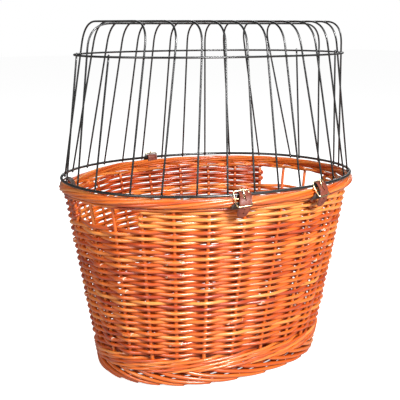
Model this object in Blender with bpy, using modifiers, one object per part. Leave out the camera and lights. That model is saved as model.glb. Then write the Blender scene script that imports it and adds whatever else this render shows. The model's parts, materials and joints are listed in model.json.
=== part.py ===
"""An oval willow bicycle pet basket with a hinged wire dome held on by buckled leather straps.

Metres, +Z up. The origin is on the ground under the middle of the basket. +X runs along the oval's long
side and -Y faces the two front straps. Angles round the oval are its own parameter, in degrees, from +X
towards +Y.
"""

from math import acos, atan2, ceil, copysign, cos, degrees, hypot, pi, radians, sin, sqrt

import bmesh
import bpy
from mathutils import Matrix, Vector

GAP = 0.0003                      # left between pieces that touch

# Oval outlines: half length, half width and the power that squares the oval a little.
OVAL_POWER = 2.17
FOOT_OVAL = (0.172, 0.125)
WALL_LOW_OVAL = (0.1755, 0.1285)
WALL_HIGH_OVAL = (0.2115, 0.1706)
BORDER_OVAL = (0.2130, 0.1741)
LOWER_RING_OVAL = (0.215, 0.1761)
UPPER_RING_OVAL = (0.203, 0.144)
UPPER_RING_MIDDLE = (0.006, -0.002)

# Heights of the basket's bands, bottom to top.
FOOT_TOP = 0.0230
BASE_BOTTOM, BASE_TOP = 0.0255, 0.0325
BOTTOM_WALE = (0.0245, 0.0435)
SIDE_WALL = (0.0445, 0.2485)
TOP_WALE = (0.2492, 0.2530)
HAND_HOLE_BOTTOM = 0.2245
TAPER_START, TAPER_END = 0.034, 0.249
BORDER_Z = 0.2627
BORDER_RADIUS = 0.0065
WALL_THICKNESS = 0.0075
FOOT_THICKNESS = 0.010
BASE_CLEARANCE = 0.0006
BAND_STEP = 6.0                   # degrees between the wall's facets

# The rim sags a little between the back strap and the left end.
SAG_MIDDLE, SAG_HALF_SPAN, SAG_DEPTH = 137.5, 42.5, 0.007

# Upright willow stakes, evenly spaced. A few are bare where they cross the hand holes.
STAKE_COUNT = 26
STAKE_STEP = 360 / STAKE_COUNT
STAKE_RADIUS = 0.0026
HAND_HOLES = {"right": STAKE_STEP, "left": 180 + STAKE_STEP}
HAND_HOLE_HALF_SPAN = 1.5 * STAKE_STEP - 0.9

# The wire dome.
LOWER_RING_Z, UPPER_RING_Z, DOME_Z = 0.272, 0.442, 0.4865
LOWER_RING_RADIUS, UPPER_RING_RADIUS, WIRE_RADIUS = 0.0020, 0.0014, 0.0013
RING_POINTS, BORDER_POINTS = 90, 60
HOOP_COUNT = 12
LOWER_HOOP_MIDDLE, UPPER_HOOP_MIDDLE = 0.009, 0.0077      # along X
LOWER_HOOP_STEP, UPPER_HOOP_STEP = 0.0375, 0.0308
LOWER_HOOP_REACH = 0.197          # the outermost feet are no further from the hoops' middle
LOWER_END_WIRE, UPPER_END_WIRE = 12.0, 16.5               # degrees from the ovals' ends
FOOT_DROP = 0.0018                # how far a leg ends below the lower ring's centre
END_WIRE_RISE = 0.0012
DOME_BEND = 0.032
BEND_POINTS = 5

# Straps, each drawn in the plane (out, up) with the lower ring's wire at its origin.
STRAP_WIDTH, STRAP_THICKNESS = 0.017, 0.0018
STRAP_ANGLES = {"front_left": 253.5, "front_right": 284.0, "back": 87.85}
BORDER_FROM_RING = (-0.0020, BORDER_Z - LOWER_RING_Z)
RING_WRAP, BORDER_WRAP = 0.0036, 0.0084        # strap's middle line round the ring and round the border
ANCHOR_BEND = 0.002               # where the strap leaves the border's slot
ANCHOR_END_ANGLE = 370.0
SPLIT_DROP = 0.0012               # how far the tongue reaches below the ring's centre, inside it
OUTER_RUN = ((0.0070, -0.0020), (0.0097, -0.0065), (0.0108, -0.0125), (0.0098, -0.0185), (0.0062, -0.0275))

# The left end's strap goes round the border only. Its tail hangs inside the wall, from the border's middle.
LEFT_STRAP_ANGLE = 143.0
LEFT_STRAP_ARC = (-75.0, 180.0)
LEFT_STRAP_TAIL = ((-0.0122, -0.008), (-0.0145, -0.021))

# Buckles: a bent wire frame, a centre bar and a prong.
BUCKLE_WIRE, PRONG_WIRE = 0.0010, 0.0008
FRAME_HALF_WIDTH, FRAME_CORNER = 0.0103, 0.0025
TOP_BAR, CENTRE_BAR, BOTTOM_BAR = (0.0015, 0.0059), (0.0053, -0.0036), (0.0131, -0.0125)
PRONG_ROUTE = ((0.00575, -0.00135), (0.0056, 0.0019), (0.0027, 0.0077), (0.0018, 0.0092))
PRONG_SLOT_ENDS, PRONG_SLOT_WIDTH = ((0.0085, -0.0049), (0.0023, 0.0030)), 0.0028
CUTTER_DEPTH = 0.008
LEAN_ALLOWANCE = 0.003            # a leg leans towards the buckle that swings past it
LEG_CLEARANCE = FRAME_HALF_WIDTH + BUCKLE_WIRE + WIRE_RADIUS + LEAN_ALLOWANCE

COLOURS = {
    "willow": ((0.58, 0.22, 0.08), 0.55, 0.0),
    "black_wire": ((0.03, 0.03, 0.032), 0.38, 0.6),
    "strap_leather": ((0.27, 0.09, 0.055), 0.5, 0.0),
    "buckle_brass": ((0.78, 0.62, 0.33), 0.3, 1.0),
}


def clear_scene():
    for item in list(bpy.data.objects):
        bpy.data.objects.remove(item, do_unlink=True)


def new_collection(name):
    collection = bpy.data.collections.new(name)
    bpy.context.scene.collection.children.link(collection)
    return collection


def material(node, kind):
    colour, roughness, metallic = COLOURS[kind]
    made = bpy.data.materials.new(node + "_" + kind)
    made.use_nodes = True
    shader = made.node_tree.nodes["Principled BSDF"]
    shader.inputs["Base Color"].default_value = (*colour, 1.0)
    shader.inputs["Roughness"].default_value = roughness
    shader.inputs["Metallic"].default_value = metallic
    return made


def add_object(name, data, kind, collection):
    item = bpy.data.objects.new(name, data)
    item.data.materials.append(material(name, kind))
    collection.objects.link(item)
    return item


# ---- oval and route geometry ----

def oval_point(oval, angle, z=0.0):
    c, s = cos(radians(angle)), sin(radians(angle))
    power = 2 / OVAL_POWER
    x = oval[0] * abs(c) ** power * (1 if c >= 0 else -1)
    y = oval[1] * abs(s) ** power * (1 if s >= 0 else -1)
    return Vector((x, y, z))


def angle_at(oval, x):
    """The angle, on the back half of the oval, of a point at x."""
    return degrees(acos(copysign((abs(x) / oval[0]) ** (OVAL_POWER / 2), x)))


def outward(oval, angle):
    """The level unit normal of the oval at an angle."""
    step = 0.5
    along = oval_point(oval, angle + step) - oval_point(oval, angle - step)
    return Vector((along.y, -along.x, 0)).normalized()


def inside_oval(oval, angle, z, distance):
    return oval_point(oval, angle, z) - outward(oval, angle) * distance


def rim_sag(angle):
    away = abs((angle - SAG_MIDDLE + 180) % 360 - 180)
    if away > SAG_HALF_SPAN:
        return 0.0
    return SAG_DEPTH * 0.5 * (1 + cos(pi * away / SAG_HALF_SPAN))


def wall_oval(z):
    share = (z - TAPER_START) / (TAPER_END - TAPER_START)
    return tuple(low + (high - low) * share for low, high in zip(WALL_LOW_OVAL, WALL_HIGH_OVAL))


def wall_point(angle, z):
    """A point of the wall's outer face, lowered near the top where the rim sags."""
    share = max(0.0, (z - SIDE_WALL[0]) / (TAPER_END - SIDE_WALL[0]))
    return oval_point(wall_oval(z), angle, z - rim_sag(angle) * share ** 2)


def split_angles(breaks, step):
    """Angles once round the oval that include every break, no more than step apart."""
    breaks = sorted(angle % 360 for angle in breaks)
    angles = []
    for here, there in zip(breaks, breaks[1:] + [breaks[0] + 360]):
        parts = max(1, ceil((there - here) / step))
        angles += [here + (there - here) * i / parts for i in range(parts)]
    return angles


def smooth_route(points, parts=3):
    """A Catmull-Rom curve through the points."""
    points = [Vector(p) for p in points]
    route = []
    for i in range(len(points) - 1):
        before, here, there, after = (points[min(max(i + k, 0), len(points) - 1)] for k in (-1, 0, 1, 2))
        for k in range(parts):
            t = k / parts
            route.append(0.5 * (2 * here + (there - before) * t
                                + (2 * before - 5 * here + 4 * there - after) * t ** 2
                                + (3 * here - before - 3 * there + after) * t ** 3))
    return route + [points[-1]]


def bezier(start, corner, end, parts):
    """A round bend from start to end that is tangent to both legs of the corner."""
    steps = [i / parts for i in range(parts + 1)]
    return [start * (1 - t) ** 2 + corner * 2 * t * (1 - t) + end * t ** 2 for t in steps]


def arc(centre, radius, start, end, step=12.0):
    parts = max(1, ceil(abs(end - start) / step))
    angles = [radians(start + (end - start) * i / parts) for i in range(parts + 1)]
    return [Vector((centre[0] + radius * cos(a), centre[1] + radius * sin(a))) for a in angles]


# ---- solids ----

def wire(name, points, radius, kind, collection, closed=False):
    data = bpy.data.curves.new(name, "CURVE")
    data.dimensions = "3D"
    data.bevel_depth = radius
    data.bevel_resolution = 2
    data.use_fill_caps = not closed
    spline = data.splines.new("POLY")
    spline.points.add(len(points) - 1)
    for point, place in zip(spline.points, points):
        point.co = (*place, 1.0)
    spline.use_cyclic_u = closed
    spline.use_smooth = True
    return add_object(name, data, kind, collection)


def filled_outline(name, outline, thickness, kind, collection):
    data = bpy.data.curves.new(name, "CURVE")
    data.dimensions = "2D"
    data.fill_mode = "BOTH"
    data.extrude = thickness / 2
    spline = data.splines.new("POLY")
    spline.points.add(len(outline) - 1)
    for point, place in zip(spline.points, outline):
        point.co = (place[0], place[1], 0.0, 1.0)
    spline.use_cyclic_u = True
    return add_object(name, data, kind, collection)


def ribbon(name, route, frame, collection):
    """A strap that follows a route in the frame's (out, up) plane."""
    sides = []
    for i, here in enumerate(route):
        along = (route[min(i + 1, len(route) - 1)] - route[max(i - 1, 0)]).normalized()
        sides.append(Vector((-along.y, along.x)) * STRAP_THICKNESS / 2)
    outline = [p + side for p, side in zip(route, sides)]
    outline += [p - side for p, side in reversed(list(zip(route, sides)))]
    strap = filled_outline(name, outline, STRAP_WIDTH, "strap_leather", collection)
    strap.matrix_world = frame
    return strap


def band(name, levels, angles, point, thickness, openings, collection):
    """A wall band: an open sheet round the oval, thickened inwards, less its openings."""
    mesh = bmesh.new()
    rows = [[mesh.verts.new(point(angle, z)) for angle in angles] for z in levels]
    count = len(angles)
    for row in range(len(levels) - 1):
        for i in range(count):
            middle = angles[i] + (angles[(i + 1) % count] - angles[i]) % 360 / 2
            z = (levels[row] + levels[row + 1]) / 2
            if any(opening(middle, z) for opening in openings):
                continue
            j = (i + 1) % count
            mesh.faces.new((rows[row][i], rows[row][j], rows[row + 1][j], rows[row + 1][i]))
    data = bpy.data.meshes.new(name)
    mesh.to_mesh(data)
    mesh.free()
    data.shade_smooth()
    data.set_sharp_from_angle(angle=radians(35))
    item = add_object(name, data, "willow", collection)
    solid = item.modifiers.new("thickness", "SOLIDIFY")
    solid.thickness = thickness
    solid.offset = -1
    solid.use_even_offset = True
    return item


def box_cutter(name, place, size, cutters):
    box = bmesh.new()
    bmesh.ops.create_cube(box, size=1.0)
    bmesh.ops.scale(box, vec=size, verts=box.verts)
    data = bpy.data.meshes.new(name)
    box.to_mesh(data)
    box.free()
    cutter = bpy.data.objects.new(name, data)
    cutter.matrix_world = place
    cutter.hide_render = True
    cutter.display_type = "WIRE"
    cutters.objects.link(cutter)
    return cutter


def cut(item, boxes, cutters):
    """Cuts boxes, each a name, a place and a size, out of a curve piece, which becomes a mesh first."""
    bpy.context.view_layer.update()
    evaluated = item.evaluated_get(bpy.context.evaluated_depsgraph_get())
    data = bpy.data.meshes.new_from_object(evaluated)
    mesh = bmesh.new()
    mesh.from_mesh(data)
    bmesh.ops.remove_doubles(mesh, verts=mesh.verts, dist=1e-6)
    mesh.to_mesh(data)
    mesh.free()
    name, place, collection = item.name, item.matrix_world.copy(), item.users_collection[0]
    bpy.data.objects.remove(item, do_unlink=True)
    solid = bpy.data.objects.new(name, data)
    solid.matrix_world = place
    collection.objects.link(solid)
    for box in boxes:
        modifier = solid.modifiers.new("slot", "BOOLEAN")
        modifier.operation = "DIFFERENCE"
        modifier.solver = "EXACT"
        modifier.object = box_cutter(*box, cutters)
    return solid


# ---- the basket ----

def in_hand_hole(angle, z):
    if z < HAND_HOLE_BOTTOM:
        return False
    turns = [(angle - centre + 180) % 360 - 180 for centre in HAND_HOLES.values()]
    return any(abs(turn) < HAND_HOLE_HALF_SPAN for turn in turns)


def add_basket(collection, cutters):
    plain = split_angles([0, 90, 180, 270], BAND_STEP)
    foot = band("foot_border", (0.0, FOOT_TOP), plain, lambda angle, z: oval_point(FOOT_OVAL, angle, z),
                FOOT_THICKNESS, (), collection)
    rounding = foot.modifiers.new("rounding", "BEVEL")
    rounding.width = 0.0025
    rounding.segments = 1
    rounding.limit_method = "ANGLE"

    low_x, low_y = wall_oval(BASE_BOTTOM)
    inset = WALL_THICKNESS + BASE_CLEARANCE
    outline = [oval_point((low_x - inset, low_y - inset), angle) for angle in plain]
    base = filled_outline("woven_base", outline, BASE_TOP - BASE_BOTTOM, "willow", collection)
    base.location.z = (BASE_TOP + BASE_BOTTOM) / 2

    band("bottom_wale", BOTTOM_WALE, plain, wall_point, WALL_THICKNESS, (), collection)
    hole_edges = [middle + side * HAND_HOLE_HALF_SPAN for middle in HAND_HOLES.values() for side in (-1, 1)]
    wall_levels = (SIDE_WALL[0], 0.105, 0.165, HAND_HOLE_BOTTOM, SIDE_WALL[1])
    band("side_wall", wall_levels, split_angles(hole_edges, BAND_STEP), wall_point,
         WALL_THICKNESS, (in_hand_hole,), collection)
    band("top_wale", TOP_WALE, plain, wall_point, WALL_THICKNESS, (), collection)
    for side, middle in HAND_HOLES.items():
        for number, offset in enumerate((-0.5, 0.5), start=1):
            angle = middle + offset * STAKE_STEP
            low, high = (wall_point(angle, z) - outward(WALL_HIGH_OVAL, angle) * WALL_THICKNESS / 2
                         for z in (HAND_HOLE_BOTTOM, TOP_WALE[0]))
            ends = [low + Vector((0, 0, 0.0019)), high - Vector((0, 0, 0.0007))]
            wire(f"{side}_handle_stake_{number}", ends, STAKE_RADIUS, "willow", collection)

    turns = [360 * i / BORDER_POINTS for i in range(BORDER_POINTS)]
    rim = [oval_point(BORDER_OVAL, angle, BORDER_Z - rim_sag(angle)) for angle in turns]
    border = wire("top_border", rim, BORDER_RADIUS, "willow", collection, closed=True)
    border.data.bevel_resolution = 3
    slot_size = (STRAP_THICKNESS + 2 * GAP, 2 * BORDER_RADIUS + 2 * ANCHOR_BEND, STRAP_WIDTH + 2 * GAP)
    slots = []
    for name, angle in STRAP_ANGLES.items():
        middle = Matrix.Translation((-RING_WRAP, BORDER_FROM_RING[1], 0))
        slots.append((f"{name}_border_cutter", strap_frame(angle) @ middle, slot_size))
    cut(border, slots, cutters)


# ---- the wire dome ----

def leg(lower_angle, upper_angle):
    """The foot of a leg and where it leans on the upper ring, inside both rings."""
    low = inside_oval(LOWER_RING_OVAL, lower_angle, LOWER_RING_Z - FOOT_DROP,
                      LOWER_RING_RADIUS + WIRE_RADIUS + GAP)
    high = inside_oval(UPPER_RING_OVAL, upper_angle, UPPER_RING_Z, UPPER_RING_RADIUS + WIRE_RADIUS + GAP)
    return low, high + Vector((*UPPER_RING_MIDDLE, 0))


def hoop_leg(number, side):
    """A cross hoop's leg, on the back for side 1 or the front for side -1, its foot clear of the straps."""
    steps = number - (HOOP_COUNT - 1) / 2
    x = LOWER_HOOP_MIDDLE + max(-LOWER_HOOP_REACH, min(LOWER_HOOP_REACH, steps * LOWER_HOOP_STEP))
    for angle in STRAP_ANGLES.values():
        strap = oval_point(LOWER_RING_OVAL, angle)
        if strap.y * side > 0 and abs(x - strap.x) < LEG_CLEARANCE:
            x = strap.x + copysign(LEG_CLEARANCE, x - strap.x)
    upper_x = UPPER_HOOP_MIDDLE + steps * UPPER_HOOP_STEP - UPPER_RING_MIDDLE[0]
    return leg(side * angle_at(LOWER_RING_OVAL, x), side * angle_at(UPPER_RING_OVAL, upper_x))


def over_the_top(start, end, top):
    """One wire from foot to foot: two straight legs, round shoulders and a level top."""
    feet, corners = [], []
    for low, high in (start, end):
        rise = (top - low.z) / (high.z - low.z)
        feet.append(low)
        corners.append(low + (high - low) * rise)
    route = [feet[0]]
    for here, there in ((0, 1), (1, 0)):
        down = (feet[here] - corners[here]).normalized()
        across = (corners[there] - corners[here]).normalized()
        corner = corners[here]
        bend = bezier(corner + down * DOME_BEND, corner, corner + across * DOME_BEND, BEND_POINTS)
        route += bend if here == 0 else bend[::-1]
    return route + [feet[1]]


def add_dome(hinge, collection):
    turns = [360 * i / RING_POINTS for i in range(RING_POINTS)]
    upper_middle = Vector((*UPPER_RING_MIDDLE, UPPER_RING_Z))
    parts = [
        wire("lower_ring", [oval_point(LOWER_RING_OVAL, a, LOWER_RING_Z) for a in turns],
             LOWER_RING_RADIUS, "black_wire", collection, closed=True),
        wire("upper_ring", [oval_point(UPPER_RING_OVAL, a) + upper_middle for a in turns],
             UPPER_RING_RADIUS, "black_wire", collection, closed=True),
    ]
    for i in range(HOOP_COUNT):
        route = over_the_top(hoop_leg(i, 1), hoop_leg(i, -1), DOME_Z)
        parts.append(wire(f"cross_hoop_{i + 1:02d}", route, WIRE_RADIUS, "black_wire", collection))
    below_hoops = DOME_Z - 2 * WIRE_RADIUS - GAP
    parts.append(wire("long_hoop", over_the_top(leg(0, 0), leg(180, 180), below_hoops),
                      WIRE_RADIUS, "black_wire", collection))
    for end, middle in (("right", 0), ("left", 180)):
        for number, side in enumerate((-1, 1), start=1):
            low, high = leg(middle + side * LOWER_END_WIRE, middle + side * UPPER_END_WIRE)
            tip = high + (high - low).normalized() * END_WIRE_RISE
            parts.append(wire(f"{end}_end_wire_{number}", [low, tip], WIRE_RADIUS, "black_wire", collection))
    for part in parts:
        keep_place(part, hinge)


# ---- straps and buckles ----

def strap_frame(angle):
    """The (out, up, along) frame on the lower ring's wire."""
    out = outward(LOWER_RING_OVAL, angle)
    up = Vector((0, 0, 1))
    frame = Matrix((out, up, out.cross(up))).transposed().to_4x4()
    frame.translation = oval_point(LOWER_RING_OVAL, angle, LOWER_RING_Z)
    return frame


def fold_point():
    """The fold's axis: the strap's face away from the ring, in the middle of the split."""
    return -RING_WRAP - STRAP_THICKNESS / 2, -SPLIT_DROP - GAP


def tongue_route():
    """From the split, over the ring and down the outside to the tip."""
    return [Vector((-RING_WRAP, -SPLIT_DROP))] + arc((0, 0), RING_WRAP, 180.0, 42.0) + smooth_route(OUTER_RUN)


def anchor_route():
    """From the split, down through the border, round its underside and up the outside towards the buckle."""
    out, up = BORDER_FROM_RING
    bend_out = ANCHOR_BEND - RING_WRAP
    bend_depth = sqrt((BORDER_WRAP - ANCHOR_BEND) ** 2 - (bend_out - out) ** 2)
    turn = 360 + degrees(atan2(-bend_depth, bend_out - out))
    return ([Vector((-RING_WRAP, -SPLIT_DROP - 2 * GAP))]
            + arc((bend_out, up - bend_depth), ANCHOR_BEND, 180.0, turn)
            + arc((out, up), BORDER_WRAP, turn, ANCHOR_END_ANGLE)[1:])


def frame_route():
    """The buckle's frame: two level bars joined by bowed rails, with round corners."""
    def rail_point(t):
        return [(1 - t) * (1 - 2 * t) * a + 4 * t * (1 - t) * b + t * (2 * t - 1) * c
                for a, b, c in zip(TOP_BAR, CENTRE_BAR, BOTTOM_BAR)]

    length = hypot(BOTTOM_BAR[0] - TOP_BAR[0], BOTTOM_BAR[1] - TOP_BAR[1])
    turn = FRAME_CORNER / length
    route = []
    for side, stations in ((1, (0.0, turn * 0.3, turn, 0.5, 1 - turn, 1 - turn * 0.3, 1.0)),
                           (-1, (1.0, 1 - turn * 0.3, 1 - turn, 0.5, turn, turn * 0.3, 0.0))):
        for t in stations:
            near_end = min(t, 1 - t)
            inset = FRAME_CORNER * max(0.0, 1 - near_end / turn) ** 2
            route.append(Vector((*rail_point(t), side * (FRAME_HALF_WIDTH - inset))))
    return route


def place(frame, points):
    return [frame @ Vector((*p, 0)) if len(p) == 2 else frame @ p for p in points]


def keep_place(item, parent):
    """Parents a piece without moving it."""
    bpy.context.view_layer.update()
    item.parent = parent
    item.matrix_parent_inverse = parent.matrix_world.inverted()


def pivot(name, position, parent, collection):
    """An empty on a joint's axis."""
    empty = bpy.data.objects.new(name, None)
    empty.location = position
    empty.empty_display_size = 0.02
    collection.objects.link(empty)
    if parent:
        keep_place(empty, parent)
    return empty


def add_strap(name, angle, hinge, collection, cutters):
    frame = strap_frame(angle)
    opens = name != "back"
    tongue, anchor = tongue_route(), anchor_route()
    if opens:
        ribbon(f"{name}_strap_anchor", anchor, frame, collection)
        leather = ribbon(f"{name}_strap_tongue", tongue, frame, collection)
    else:
        leather = ribbon(f"{name}_strap", tongue[:0:-1] + anchor[1:], frame, collection)
    (low_out, low_up), (high_out, high_up) = PRONG_SLOT_ENDS
    middle = Matrix.Translation(((low_out + high_out) / 2, (low_up + high_up) / 2, 0))
    slope = Matrix.Rotation(atan2(high_up - low_up, high_out - low_out), 4, "Z")
    size = (hypot(high_out - low_out, high_up - low_up), CUTTER_DEPTH, PRONG_SLOT_WIDTH)
    leather = cut(leather, [(f"{name}_prong_cutter", frame @ middle @ slope, size)], cutters)

    frame_wire = wire(f"{name}_buckle_frame", place(frame, frame_route()), BUCKLE_WIRE, "buckle_brass",
                      collection, closed=True)
    reach = FRAME_HALF_WIDTH - BUCKLE_WIRE - GAP
    bar_ends = [Vector((*CENTRE_BAR, side * reach)) for side in (-1, 1)]
    bar = wire(f"{name}_buckle_bar", place(frame, bar_ends), BUCKLE_WIRE, "buckle_brass", collection)
    prong = wire(f"{name}_buckle_prong", place(frame, PRONG_ROUTE), PRONG_WIRE, "buckle_brass", collection)

    carrier = None
    if opens:
        carrier = pivot(f"{name}_strap_fold", frame @ Vector((*fold_point(), 0)), hinge, collection)
        for item in (leather, frame_wire, bar):
            keep_place(item, carrier)
    keep_place(prong, pivot(f"{name}_prong_turn", frame @ Vector((*CENTRE_BAR, 0)), carrier, collection))


def add_left_strap(collection):
    """The left end's strap: up the outside, over the border and down inside the wall."""
    middle = Vector((BORDER_FROM_RING[0], BORDER_FROM_RING[1] - rim_sag(LEFT_STRAP_ANGLE)))
    over = arc(middle, BORDER_WRAP, *LEFT_STRAP_ARC)
    tail = [middle + Vector(place) for place in LEFT_STRAP_TAIL]
    ribbon("left_end_strap", over + tail, strap_frame(LEFT_STRAP_ANGLE), collection)


def main():
    clear_scene()
    collection = new_collection("willow_pet_basket")
    cutters = new_collection("cutters")
    add_basket(collection, cutters)
    hinge = pivot("dome_hinge", strap_frame(STRAP_ANGLES["back"]).translation, None, collection)
    add_dome(hinge, collection)
    for name, angle in STRAP_ANGLES.items():
        add_strap(name, angle, hinge, collection, cutters)
    add_left_strap(collection)


main()
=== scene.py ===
"""The looks of an oval willow pet basket with a wire dome, leather straps and brass buckles.

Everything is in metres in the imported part's own frame: +Z up, +X along the oval, -Y faces the two front
straps. Angles round the oval are the oval's own parameter, in degrees, from +X towards +Y. A bay is the space
between two neighbouring stakes, and "bays" counts them round the oval from the first stake.
"""

import json
from math import atan2, ceil, cos, degrees, hypot, pi, radians, sin, sqrt

import bmesh
import bpy
import numpy as np
from mathutils import Matrix, Vector


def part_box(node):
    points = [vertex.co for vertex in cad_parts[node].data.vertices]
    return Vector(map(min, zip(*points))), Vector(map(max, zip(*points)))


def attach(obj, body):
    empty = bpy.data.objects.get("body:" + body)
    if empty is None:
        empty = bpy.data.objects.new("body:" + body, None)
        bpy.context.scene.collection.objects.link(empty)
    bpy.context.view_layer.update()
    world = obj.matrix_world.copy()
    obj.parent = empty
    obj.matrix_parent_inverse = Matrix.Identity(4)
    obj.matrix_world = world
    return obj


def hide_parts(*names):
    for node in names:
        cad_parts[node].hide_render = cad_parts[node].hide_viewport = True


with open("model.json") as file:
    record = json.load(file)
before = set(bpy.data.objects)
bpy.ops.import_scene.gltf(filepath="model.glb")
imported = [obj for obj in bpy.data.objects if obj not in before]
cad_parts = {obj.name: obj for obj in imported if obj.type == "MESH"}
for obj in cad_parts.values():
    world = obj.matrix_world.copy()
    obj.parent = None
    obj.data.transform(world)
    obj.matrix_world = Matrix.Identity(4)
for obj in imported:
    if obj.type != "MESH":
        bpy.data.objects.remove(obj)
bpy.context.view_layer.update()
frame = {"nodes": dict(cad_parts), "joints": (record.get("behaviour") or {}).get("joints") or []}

random = np.random.default_rng(11)

# ---- what the frame says ----


def half_size(node, inset=0.0):
    low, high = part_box(node)
    return (high.x - low.x) / 2 - inset, (high.y - low.y) / 2 - inset


def middle(node):
    low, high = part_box(node)
    return (low + high) / 2


OVAL_POWER = 2.17  # squares the ovals a little
LOWER_RING_RADIUS, UPPER_RING_RADIUS, WIRE_RADIUS = 0.0020, 0.0014, 0.0013
LOWER_RING = half_size("lower_ring", LOWER_RING_RADIUS)
UPPER_RING = half_size("upper_ring", UPPER_RING_RADIUS)
BORDER_RADIUS = 0.0065
BORDER = half_size("top_border", BORDER_RADIUS)
FOOT = half_size("foot_border")
WALL_LOW, WALL_HIGH = half_size("bottom_wale"), half_size("top_wale")
WALL_LOW_Z, WALL_HIGH_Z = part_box("bottom_wale")[1].z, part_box("top_wale")[1].z
LOWER_RING_Z, UPPER_RING_Z = middle("lower_ring").z, middle("upper_ring").z
UPPER_RING_SHIFT = np.array([middle("upper_ring").x, middle("upper_ring").y, 0.0])
BORDER_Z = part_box("top_border")[1].z - BORDER_RADIUS
DOME_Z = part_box("cross_hoop_06")[1].z - WIRE_RADIUS
SIDE_BOTTOM, SIDE_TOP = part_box("side_wall")[0].z, 0.2515
BASE_Z = middle("woven_base").z

# The rim sags between the back strap and the left end.
SAG_MIDDLE, SAG_HALF_SPAN, SAG_DEPTH = 137.5, 42.5, 0.007

# ---- the weave's plan ----

STAKE_COUNT = 26
BAY = 360 / STAKE_COUNT  # degrees
FIRST_STAKE = BAY / 2
STAKE_DEPTH = 0.0047  # stake's middle line inside the wall's outer face
STAKE_RADIUS = (0.00265, 0.0023)  # at the foot and at the top
STAKE_BOTTOM, STAKE_TOP = 0.0275, 0.2550
BAY_STEPS = 8  # samples along a rod in one bay

ROW_COUNT = 46
FULL_ROWS = 40  # the rows above these stop at the hand holes
ROW_PITCH = (SIDE_TOP - SIDE_BOTTOM) / ROW_COUNT
WEAVER_SWING = 0.0038  # how far a weaver's middle line swings out and in
WEAVER_RADIUS = (0.00228, 0.00200)  # at the thick and the thin end
WEAVER_TALL = 1.16  # how much taller than deep a rod is
WEAVER_REACH = 0.24  # bays from the last stake to a rod's end
END_OUT, END_IN = 0.0012, -0.0016  # how far a rod's end is pushed off its row's swing
END_SHIFT = 0.0010  # how far one end lies below its row and the other above it
RODS_PER_ROW = 2
ROW_WAVE, ROW_WANDER = 0.0018, 0.00018  # what the rows rise together, and each by itself
ROWS_PER_PIECE = 6
HOLE_ARCS = ((2, 12), (15, 25))  # bays between the stakes that bound the hand holes
HOLE_WEAVER_RADIUS = 0.0020

STRAP_WIDTH, STRAP_THICKNESS = 0.017, 0.0018


def oval_point(half, angle, z=0.0):
    """Points of an oval; angle and z may be arrays."""
    angle = np.radians(np.asarray(angle, float))
    c, s = np.cos(angle), np.sin(angle)
    power = 2 / OVAL_POWER
    x = half[0] * np.abs(c) ** power * np.sign(c)
    y = half[1] * np.abs(s) ** power * np.sign(s)
    return np.stack([x, y, np.broadcast_to(z, x.shape).astype(float)], axis=-1)


def outward(half, angle):
    """Level unit normals of an oval."""
    along = oval_point(half, np.asarray(angle) + 0.5) - oval_point(half, np.asarray(angle) - 0.5)
    normal = np.stack([along[..., 1], -along[..., 0], np.zeros_like(along[..., 0])], axis=-1)
    return normal / np.linalg.norm(normal, axis=-1, keepdims=True)


def turn_between(a, b):
    """a - b in degrees, from -180 to 180."""
    return (np.asarray(a) - b + 180) % 360 - 180


def rim_sag(angle):
    away = np.abs(turn_between(angle, SAG_MIDDLE))
    return np.where(away < SAG_HALF_SPAN, SAG_DEPTH * 0.5 * (1 + np.cos(pi * away / SAG_HALF_SPAN)), 0.0)


def smoothstep(x):
    x = np.clip(x, 0, 1)
    return x * x * (3 - 2 * x)


def run_along(path):
    """The distance from a path's start to each of its points."""
    return np.concatenate([[0], np.cumsum(np.linalg.norm(np.diff(path, axis=0), axis=1))])


def new_object(name, data):
    item = bpy.data.objects.new(name, data)
    bpy.context.scene.collection.objects.link(item)
    return item


def set_attribute(data, label, values):
    """Keeps one number or one vector for each point of a mesh."""
    kind, field = ("FLOAT_VECTOR", "vector") if values.ndim > 1 else ("FLOAT", "value")
    attribute = data.attributes.new(label, kind, "POINT")
    attribute.data.foreach_set(field, values.astype(np.float32).ravel())


# ---- straps' frames ----

CENTRE_BAR = (0.0053, -0.0036)


def strap_frames():
    """For each strap, the (out, up, along) frame with the lower ring's wire at its origin."""
    frames = {}
    for joint in frame["joints"]:
        if joint["name"].endswith("_prong_lift"):
            along, up = -Vector(joint["axis"]), Vector((0, 0, 1))
            out = up.cross(along)
            matrix = Matrix((out, up, along)).transposed().to_4x4()
            matrix.translation = Vector(joint["pos_m"]) - out * CENTRE_BAR[0] - up * CENTRE_BAR[1]
            frames[joint["name"][:-len("_prong_lift")]] = matrix
    return frames


STRAPS = strap_frames()


def bay_angle(bays):
    """The angle of a place counted in bays."""
    return FIRST_STAKE + np.asarray(bays, float) * BAY


def bay_length(stake):
    """Metres along the wall from stake to stake, about this stake."""
    angle = FIRST_STAKE + stake * BAY
    degree = float(np.linalg.norm(oval_point(WALL_HIGH, angle + 0.5) - oval_point(WALL_HIGH, angle - 0.5)))
    return degree * BAY


def wall_half(z):
    share = ((np.asarray(z, float) - WALL_LOW_Z) / (WALL_HIGH_Z - WALL_LOW_Z))[..., None]
    return np.array(WALL_LOW) + (np.array(WALL_HIGH) - np.array(WALL_LOW)) * share


def wall_points(bays, z, swing):
    """Points of the wall: swing is metres outwards from the stakes' middle line."""
    bays, z, swing = np.broadcast_arrays(*(np.asarray(value, float) for value in (bays, z, swing)))
    angle = bay_angle(bays)
    half = wall_half(z)
    shape = oval_point((1.0, 1.0), angle)
    share = np.clip((z - SIDE_BOTTOM) / (WALL_HIGH_Z - SIDE_BOTTOM), 0, None)
    level = z - rim_sag(angle) * share ** 2
    face = np.stack([shape[..., 0] * half[..., 0], shape[..., 1] * half[..., 1], level], -1)
    return face + outward(WALL_HIGH, angle) * (swing - STAKE_DEPTH)[..., None]


def wall_normals(bays):
    return outward(WALL_HIGH, bay_angle(bays))


# ---- rods ----

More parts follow.
